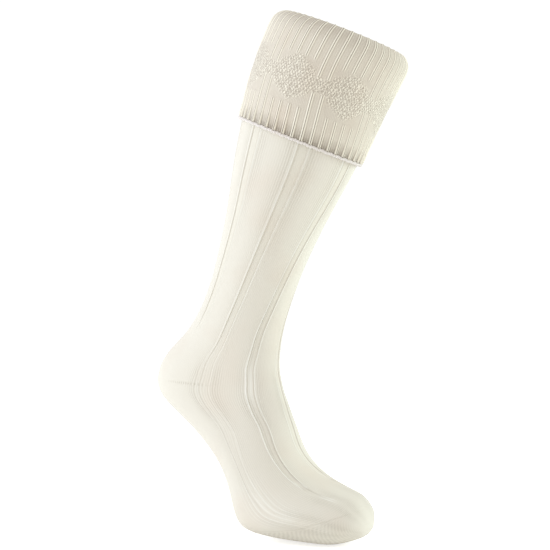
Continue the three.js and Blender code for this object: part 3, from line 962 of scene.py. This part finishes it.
@dataclass
class CuffEdge(Piece):
    """The rounded cast-off edge under the ribbing, drawn down at each rib.

    Attributes:
        radius: of the edge's round section.
        clearance: between the edge and the leg's outside.
        scallop: how far the edge hangs lower at a rib.
        bead: how much thicker it is at each cast-off stitch.
        stitches: cast-off stitches in a rib's angle.
        sides: points round the section.
    """

    name: str = "cuff_edge"
    nodes: tuple[str, ...] = ("cuff_edge",)
    slot: str = "edge_wool"
    finish: KnittedWool = EDGE_WOOL
    radius: float = 1.5 * MM
    clearance: float = 1.3 * MM
    scallop: float = 0.2 * MM
    bead: float = 0.32 * MM
    stitches: int = 3
    sides: int = 12

    def shell(self) -> Shell:
        """The edge as a round section carried along a ring, its radius and place waving with the ribs."""
        turn = np.arange(self.sides) / self.sides * math.tau
        degrees = np.arange(RIBS * 16) / (RIBS * 16) * 360.0
        angle, wales = np.meshgrid(turn, degrees, indexing="ij")
        phase = wales / RIB_ANGLE * math.tau
        wave = -np.cos(phase)
        thick = self.radius + self.bead * np.cos(phase * self.stitches)
        drop = CUFF_DROP + self.radius + 0.2 * MM
        lift = self.clearance + self.radius + thick * np.cos(angle) + 0.25 * MM * wave
        slide = thick * np.sin(angle) + self.scallop * wave
        section = np.full_like(wales, FORM.section_at(np.array(drop)))
        points = FORM.cloth(section, wales, lift, slide)
        around = np.append(degrees, 360.0)
        round_mm = np.append(turn, math.tau) * self.radius
        return Shell(
            name=self.name,
            outer=points[::-1],
            inner=None,
            knit=knit_map(RIBS * self.stitches * 2.0, around, round_mm[::-1], 1.2),
            layers={Layer.DEPTH: np.full_like(wales, 0.12 * MM)},
            loop=True,
        )


@dataclass
class Tube(Piece):
    """A stretch of the knitted tube under the cuff: channels, the line of holes at the heel and the seam of the toe.

    Attributes:
        sink: floor of a channel below the panels.
        groove: further depth of the line just inside each ridge.
        ridge: crown of the ridges above the panels.
        start: section at which the patch starts.
        end: section at which it ends.
        rows: rows of points.
        wales: wales in a whole round.
        holes: small holes that a whole round would take.
        course_mm: height of a course.
        first: first degree of the patch.
        span: degrees that it covers.
    """

    slot: str = "leg_wool"
    finish: KnittedWool = LEG_WOOL
    sink: float = 0.5 * MM
    groove: float = 0.25 * MM
    ridge: float = 0.3 * MM
    start: float = 0.0
    end: float = 0.0
    rows: int = 60
    wales: float = 160.0
    holes: float = 114.0
    course_mm: float = 1.6
    first: float = 0.0
    span: float = 360.0

    def channel_half(self, section: Array) -> Array:
        """Half width of the channels in degrees: even down the leg, wide at the ankle, narrow towards the toes."""
        places = [0.0, 12.0, 14.5, 17.2, 18.5, 21.0]
        return np.interp(section, places, [CHANNEL_HALF, CHANNEL_HALF, 6.2, 4.2, 2.4, 1.6])

    def channel_share(self, section: Array, degrees: Array) -> Array:
        """How much of a channel is left: all down the leg, then only over the instep and along the sides."""
        repeat = np.round(from_shin(degrees) / REPEAT_ANGLE)
        sole = ease(section, 8.2, 6.6)
        top = ease(section, 21.0, 19.2)
        side = ease(section, 21.2, 19.6) * (1.0 - 0.65 * ease(section, 6.5, 9.5))
        return np.select([repeat <= 1, repeat == 2], [top, side], sole)

    def channels(self, section: Array, degrees: Array) -> Array:
        """Rise of the channels and their ridges.

        Across a channel the floor is flat to two thirds of its half width, falls a little further in a narrow
        groove, climbs to a rounded ridge one wale wide and comes back to the panel.
        """
        away = np.abs(self.across(section, degrees))
        floor = -self.sink * ease(away, 0.92, 0.74)
        line = -self.groove * bump_of(away, 0.74, 0.2)
        crown = self.ridge * bump_of(away, 1.02, 0.2)
        outside = -0.4 * self.groove * bump_of(away, 1.4, 0.22)
        return (floor + line + crown + outside) * self.channel_share(section, degrees)

    def heel_holes(self, section: Array, degrees: Array) -> Array:
        """Rise of the line of small holes where the heel was turned: round dimples along a shallow groove."""
        turned = from_shin(degrees)
        strong = ease(turned, 88.0, 94.0) * ease(turned, 158.0, 108.0)
        dots = 0.5 + 0.5 * np.cos(turned / 360.0 * math.tau * self.holes)
        return -(0.04 + 0.6 * dots) * MM * bump_of(section, HEEL_HOLES, 0.16) * strong

    def pocket_edge(self, turned: Array) -> Array:
        """Section at which the toe pocket starts: near the tip over the top, further back under the sole."""
        places = [45.0, 64.0, 80.0, 90.0, 100.0, 110.0, 130.0]
        return np.interp(turned, places, [21.9, 21.65, 21.4, 21.1, 20.9, 20.4, 19.6])

    def toe_seam(self, section: Array, degrees: Array) -> Array:
        """Rise of the seam along the toe pocket's edge, which fades out under the sole."""
        turned = from_shin(degrees)
        edge = self.pocket_edge(turned)
        seam = 0.12 * bump_of(section, edge - 0.1, 0.1) - 0.12 * bump_of(section, edge, 0.1)
        return seam * ease(turned, 125.0, 100.0) * MM

    def relief(self, section: Array, degrees: Array) -> Array:
        """Rise of the tube's outside, all its features together."""
        rise = self.channels(section, degrees)
        if self.end > HEEL_START:
            rise = rise + self.heel_holes(section, degrees) + self.toe_seam(section, degrees)
        return rise

    def stitch_depth(self, section: Array, degrees: Array) -> Array:
        """Depth of the wales, for their bumps and the painted shade between them: plainest beside the channels high on
        the leg and at the bend, faint elsewhere.
        """
        beside = np.exp(-(((np.abs(from_channel(degrees)) - CHANNEL_HALF - 3.0) / 6.0) ** 2))
        turned = from_shin(degrees)
        beside = beside * (1.0 - ease(turned, 106.0, 114.0) * ease(section, 6.5, 8.5))
        high = ease(section, 5.0, 2.5)
        bend = ease(section, 8.5, 10.0) * ease(section, 14.5, 12.5)
        toe = ease(section, 18.5, 19.8)
        place = np.maximum(np.maximum(high, 0.8 * bend), 0.7 * toe)
        tip = ease(section, 24.5, 21.5)
        return (0.07 + 0.2 * beside * (0.25 + 0.75 * place) + 0.04 * toe) * tip * MM

    def across(self, section: Array, degrees: Array) -> Array:
        """Place across the nearest channel, -1 at its left ridge and 1 at its right one."""
        return from_channel(degrees) / self.channel_half(section)

    def clearness(self, degrees: Array) -> Array:
        """How clear each channel's painted shade and painted highlights are: clearest either side of the shin, pulled
        flatter elsewhere.
        """
        return np.array([0.6, 1.0, 0.35, 0.35, 0.4])[np.round(from_shin(degrees) / REPEAT_ANGLE).astype(int)]

    def lines(self, section: Array, degrees: Array) -> Array:
        """Where painted shade darkens the narrow grooves.

        One lies inside each channel's left ridge and a weaker one inside the right ridge, which grows stronger over
        the instep; high on the leg one lies outside the right ridge, and from the lower leg on a fine one inside.
        """
        place = self.across(section, degrees)
        low = ease(section, 4.0, 5.5)
        left = (0.75 - 0.5 * ease(section, 6.5, 9.5)) * bump_of(place, -0.78, 0.17)
        right = (0.2 + 0.05 * low + 0.15 * ease(section, 11.0, 13.5)) * bump_of(place, 0.82, 0.17)
        outside = 0.45 * ease(section, 4.2, 2.6) * bump_of(place, 1.28, 0.18)
        inner = 0.3 * low * bump_of(place, -0.35, 0.14)
        made = (left + right + outside + inner) * self.channel_share(section, degrees)
        made = made * self.clearness(degrees)
        if self.end > HEEL_START:
            made = made + self.heel_hole_painted_shade(section, degrees) + self.toe_painted_shade(section, degrees)
        return np.clip(made, 0.0, 1.0)

    def heel_hole_painted_shade(self, section: Array, degrees: Array) -> Array:
        """Painted shade in the line of small holes at the heel."""
        turned = from_shin(degrees)
        strong = ease(turned, 80.0, 94.0) * ease(turned, 158.0, 108.0)
        dots = ease(np.cos(turned / 360.0 * math.tau * self.holes), 0.1, 0.9)
        return 0.5 * dots * bump_of(section, HEEL_HOLES, 0.11) * strong

    def toe_painted_shade(self, section: Array, degrees: Array) -> Array:
        """Painted shade between the wales of the toe pocket, which stand upright under the toes, and along its edge.
        """
        turned = from_shin(degrees)
        edge = self.pocket_edge(turned)
        lean = np.interp(turned, [60.0, 100.0, 120.0, 140.0], [-1.56, 0.0, 0.5, 0.7])
        wales = 0.5 + 0.5 * np.cos((section - lean) * 10.0 * math.pi)
        pocket = ease(section, edge, edge + 0.4) * ease(section, 25.0, 23.4) * ease(turned, 55.0, 85.0)
        seam = bump_of(section, edge, 0.12) * ease(turned, 40.0, 70.0)
        return 0.29 * wales * pocket + 0.18 * seam

    def painted_highlights(self, section: Array, degrees: Array) -> Array:
        """Where painted highlights lie on the raised wales.

        The ridges of the channels, a fine one inside from the lower leg on, single wales at the bend of the ankle
        beside the channels, and the wales that run round the side of the ball into the toe.
        """
        place = self.across(section, degrees)
        left = bump_of(place, -1.04, 0.16)
        right = 0.8 * bump_of(place, 1.04, 0.15)
        inner = 0.45 * ease(section, 4.0, 5.5) * bump_of(place, -0.57, 0.12)
        made = (left + right + inner) * self.channel_share(section, degrees)
        made = made * (0.35 + 0.65 * self.clearness(degrees))
        turned = from_shin(degrees)
        wales = 0.5 + 0.5 * np.cos(turned / 360.0 * math.tau * self.wales)
        pairs = 0.5 + 0.5 * np.cos(turned / 360.0 * math.tau * self.wales / 2.0)
        bend = bump_of(section, 10.3, 2.6) * bump_of(turned, 45.0, 19.0)
        side = bump_of(section, 18.6, 2.6) * bump_of(turned, 92.0, 26.0)
        return np.clip(made + 0.6 * wales**2 * bend + 0.6 * pairs * side, 0.0, 1.0)

    def hollow(self, section: Array, degrees: Array) -> Array:
        """Where painted shade darkens the sunk ground: the channels' floors."""
        away = np.abs(self.across(section, degrees))
        shown = 1.0 - 0.9 * ease(section, 5.0, 9.0)
        return shown * ease(away, 0.95, 0.75) * self.channel_share(section, degrees)

    def degrees(self) -> Array:
        """Columns' degrees: close together across each channel and its ridges, wider on the panels."""
        near = np.array([0.0, 2.0, 3.0, 3.5, 3.9, 4.3, 4.7, 5.05, 5.4, 5.8, 6.3, 7.0, 7.9])
        panel = np.linspace(9.2, REPEAT_ANGLE / 2, 11)[:-1]
        side = np.concatenate([near, panel])
        repeat = np.concatenate([-side[:0:-1], side, [REPEAT_ANGLE / 2]])
        whole = (np.arange(REPEATS)[:, None] * REPEAT_ANGLE + repeat).ravel()
        return np.sort(whole)

    def sections(self) -> Array:
        """Rows' sections, evenly spaced along the sock."""
        ends = FORM.drop_at(np.array([self.start, self.end]))
        return FORM.section_at(np.linspace(ends[0], ends[1], self.rows))

    def grid(self) -> tuple[Array, Array]:
        """Sections and degrees of the patch's points."""
        return np.meshgrid(self.sections(), self.degrees(), indexing="ij")

    def shell(self) -> Shell:
        """The patch as two grids a wall apart, closed along its edges."""
        section, degrees = self.grid()
        closed = self.span >= 360.0
        outer = FORM.cloth(section, degrees, self.relief(section, degrees))
        inner = FORM.cloth(section, degrees, -LEG_WALL)
        around = degrees[0]
        if closed:
            around = np.append(around, around[0] + 360.0)
        drop = FORM.drop_at(section[:, 0])
        return Shell(
            name=self.name,
            outer=outer,
            inner=inner,
            knit=knit_map(self.wales, around, drop, self.course_mm),
            layers={
                Layer.DEPTH: self.stitch_depth(section, degrees),
                Layer.PAINTED_RECESS_SHADE: self.hollow(section, degrees),
                Layer.LINE: self.lines(section, degrees),
                Layer.PAINTED_HIGHLIGHT: self.painted_highlights(section, degrees),
            },
            closed=closed,
        )


@dataclass
class Leg(Tube):
    """The leg, from inside the fold down to the ankle."""

    name: str = "leg"
    nodes: tuple[str, ...] = ("leg",)
    start: float = 0.25
    end: float = HEEL_START
    rows: int = 100


@dataclass
class Heel(Tube):
    """The heel pocket, between the side channels.

    Attributes:
        count: columns of points, several to each hole of the heel's line.
    """

    name: str = "heel"
    nodes: tuple[str, ...] = ("heel",)
    start: float = HEEL_START
    end: float = HEEL_END
    rows: int = 110
    first: float = 90.0 + CHANNEL_HALF
    span: float = 180.0 - 2 * CHANNEL_HALF
    count: int = 362

    def degrees(self) -> Array:
        """Columns' degrees, evenly spaced over the pocket."""
        return np.linspace(self.first, self.first + self.span, self.count)


@dataclass
class Instep(Tube):
    """The instep over the heel pocket, between the side channels."""

    name: str = "instep"
    nodes: tuple[str, ...] = ("foot",)
    start: float = HEEL_START
    end: float = HEEL_END
    rows: int = 84
    first: float = -90.0 - CHANNEL_HALF
    span: float = 180.0 + 2 * CHANNEL_HALF

    def degrees(self) -> Array:
        """Columns' degrees: those of the tube that lie over the instep, from ridge to ridge."""
        whole = super().degrees()
        whole = np.concatenate([whole - 360.0, whole])
        last = self.first + self.span
        inside = whole[(whole > self.first + 0.05) & (whole < last - 0.05)]
        return np.concatenate([[self.first], inside, [last]])


@dataclass
class Forefoot(Tube):
    """The foot from the heel pocket to the toe."""

    name: str = "forefoot"
    nodes: tuple[str, ...] = ("foot",)
    start: float = HEEL_END
    end: float = TOE_START
    rows: int = 90


@dataclass
class Toe(Tube):
    """The toe, closed at its tip.

    Attributes:
        tip_wall: thickness at the tip.
    """

    name: str = "toe"
    nodes: tuple[str, ...] = ("toe",)
    start: float = TOE_START
    end: float = 25.9
    rows: int = 104
    tip_wall: float = 2.6 * MM

    def shell(self) -> Shell:
        """The patch with its last ring closed on a point outside and inside."""
        made = super().shell()
        tip = FORM.skin(np.array(float(FORM.last)), np.array(0.0))
        back = FORM.middle(np.array(TOE_START)) - FORM.mouth - tip
        inner_tip = tip + back / np.linalg.norm(back) * self.tip_wall
        made.tips = np.stack([tip, inner_tip])
        return made


@dataclass
class Studio:
    """Camera, soft lights, pale floor and white surround.

    Attributes:
        azimuth: where the camera stands round the sock, in degrees from the front of the frame.
        elevation: how high it looks from, in degrees.
        distance: from the camera to the aim.
        light_distance: from each light to the aim.
        aim: point of the sock at the picture's middle.
        lens_mm: focal length on a 36 mm film.
        floor_gap: floor under the lowest point of the sole.
        fill: strength of the surround's even light on the sock.
        surround_glow: strength of the surround as the camera sees it.
        floor_fill: glow of the floor towards the sock.
        floor_glow: how much more the floor glows as the camera sees it.
    """

    azimuth: float = 25.0
    elevation: float = -2.0
    distance: float = 1.1
    light_distance: float = 1.4
    aim: tuple[float, float, float] = (-0.0772, 0.0, -0.24045)
    lens_mm: float = 70.0
    floor_gap: float = 0.2 * MM
    fill: float = 0.865
    surround_glow: float = 1.05
    floor_fill: float = 0.17
    floor_glow: float = 0.43

    def direction(self, azimuth: float, elevation: float) -> Vector:
        """Unit vector from the aim towards a place round the sock."""
        a, e = math.radians(azimuth), math.radians(elevation)
        return Vector((math.sin(a) * math.cos(e), -math.cos(a) * math.cos(e), math.sin(e)))

    def add(self, name: str, data: bpy.types.ID, azimuth: float, elevation: float, away: float) -> bpy.types.Object:
        """Adds a camera or light that looks at the sock from a place round it, away from the aim."""
        made = bpy.data.objects.new(name, data)
        back = self.direction(azimuth, elevation)
        made.location = Vector(self.aim) + back * away
        made.rotation_euler = (-back).to_track_quat("-Z", "Y").to_euler()
        bpy.context.scene.collection.objects.link(made)
        return made

    def camera(self) -> None:
        """Sets the camera at the photograph's angle."""
        data = bpy.data.cameras.new("camera")
        data.lens = self.lens_mm
        data.sensor_width = 36.0
        bpy.context.scene.camera = self.add("camera", data, self.azimuth, self.elevation, self.distance)

    def light(self, name: str, azimuth: float, elevation: float, size: float, watts: float, colour: str) -> None:
        """Adds a square soft light that faces the sock.

        Args:
            name: the light's name.
            azimuth: where it stands round the sock, in degrees, counted as the camera's.
            elevation: its height, in degrees.
            size: side of the square.
            watts: its power.
            colour: its sRGB hex colour.
        """
        data = bpy.data.lights.new(name, "AREA")
        data.size = size
        data.energy = watts
        data.color = linear(colour)[:3]
        self.add(name, data, azimuth, elevation, self.light_distance)

    def floor(self, ground: float) -> None:
        """Adds the round pale floor, as bright as the surround, under the sock.

        Args:
            ground: height of the sock's lowest point.
        """
        turn = np.linspace(0.0, math.tau, 65)[:-1]
        height = np.full(64, ground - self.floor_gap)
        ring = np.stack([np.cos(turn) * 5.0, np.sin(turn) * 5.0, height], axis=1)
        mesh = bpy.data.meshes.new("floor")
        mesh.from_pydata(ring.tolist(), [], [list(range(64))])
        made = bpy.data.objects.new("floor", mesh)
        bpy.context.scene.collection.objects.link(made)
        paint = bpy.data.materials.new("pale_floor")
        paint.use_nodes = True
        tree = paint.node_tree
        shader = tree.nodes["Principled BSDF"]
        shader.inputs["Base Color"].default_value = linear("#f0f0ee")
        shader.inputs["Roughness"].default_value = 0.9
        shader.inputs["Emission Color"].default_value = (1.0, 1.0, 1.0, 1.0)
        seen = add_node(tree, "ShaderNodeLightPath").outputs["Is Camera Ray"]
        glow = Formula(tree).math("MULTIPLY_ADD", seen, self.floor_glow, self.floor_fill)
        tree.links.new(glow, shader.inputs["Emission Strength"])
        mesh.materials.append(paint)
        made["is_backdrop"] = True

    def surround(self) -> None:
        """Makes the surround: white to look at, and a soft even light on the sock."""
        world = bpy.data.worlds.new("white_surround")
        bpy.context.scene.world = world
        world.use_nodes = True
        tree = world.node_tree
        tree.nodes.clear()
        white = (1.0, 1.0, 1.0, 1.0)
        fill, seen = (
            add_node(tree, "ShaderNodeBackground", values={"Color": white, "Strength": strength}).outputs[0]
            for strength in (self.fill, self.surround_glow)
        )
        ray = add_node(tree, "ShaderNodeLightPath").outputs["Is Camera Ray"]
        both = add_node(tree, "ShaderNodeMixShader", links={0: ray, 1: fill, 2: seen})
        add_node(tree, "ShaderNodeOutputWorld", links={"Surface": both.outputs[0]})

    def build(self, ground: float) -> None:
        """Sets up the whole studio over a floor at the given height."""
        self.camera()
        self.light("key_light", -62.0, 12.0, 0.7, 9.8, "#e4efff")
        self.light("rim_light", 125.0, 15.0, 0.8, 8.6, "#eafffb")
        self.floor(ground)
        self.surround()
        view = bpy.context.scene.view_settings
        view.view_transform = "Standard"
        view.look = "None"


def main() -> None:
    """Builds the sock's pieces in order, then the studio."""
    logging.basicConfig(level=logging.INFO, format="%(name)s %(message)s")
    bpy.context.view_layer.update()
    pieces = [Cuff(), CuffEdge(), Leg(), Heel(), Instep(), Forefoot(), Toe()]
    for piece in pieces:
        piece.build()
    Studio().build(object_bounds()[0][2])


if __name__ == "__main__":
    main()
